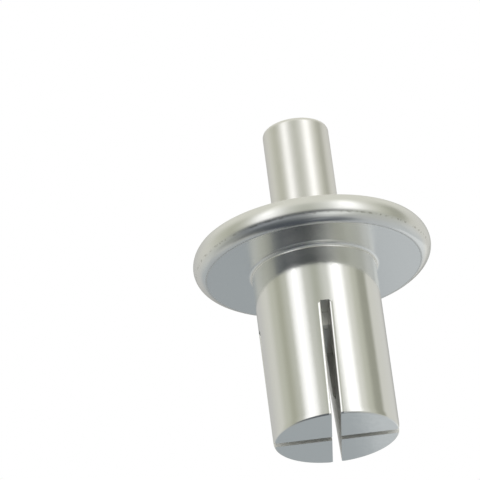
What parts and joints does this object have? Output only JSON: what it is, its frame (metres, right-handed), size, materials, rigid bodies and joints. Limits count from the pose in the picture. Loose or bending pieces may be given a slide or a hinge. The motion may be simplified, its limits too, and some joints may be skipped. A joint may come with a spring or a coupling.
{
  "type": "drive rivet",
  "caption": "Round flanged blind rivet with a cross-slotted shank and a drive pin started in its bore, standing on its tail.",
  "frame": {"origin": "on the rivet's axis, in the plane of the flange's flat underside, which is the face that seats on the sheet", "axes": "+Z along the axis towards the free end of the drive pin; -Z points along the shank to the slotted tail; +X through the middle of one of the four petals at the tail, midway between two slots"},
  "size_m": [0.0122, 0.0122, 0.0173],
  "materials": {
    "body_aluminium": "bright as-headed, slightly satin",
    "pin_aluminium": "bright drawn"
  },
  "bodies": {
    "root": {"rivet_body": "body_aluminium", "drive_pin": "pin_aluminium"}
  },
  "joints": []
}
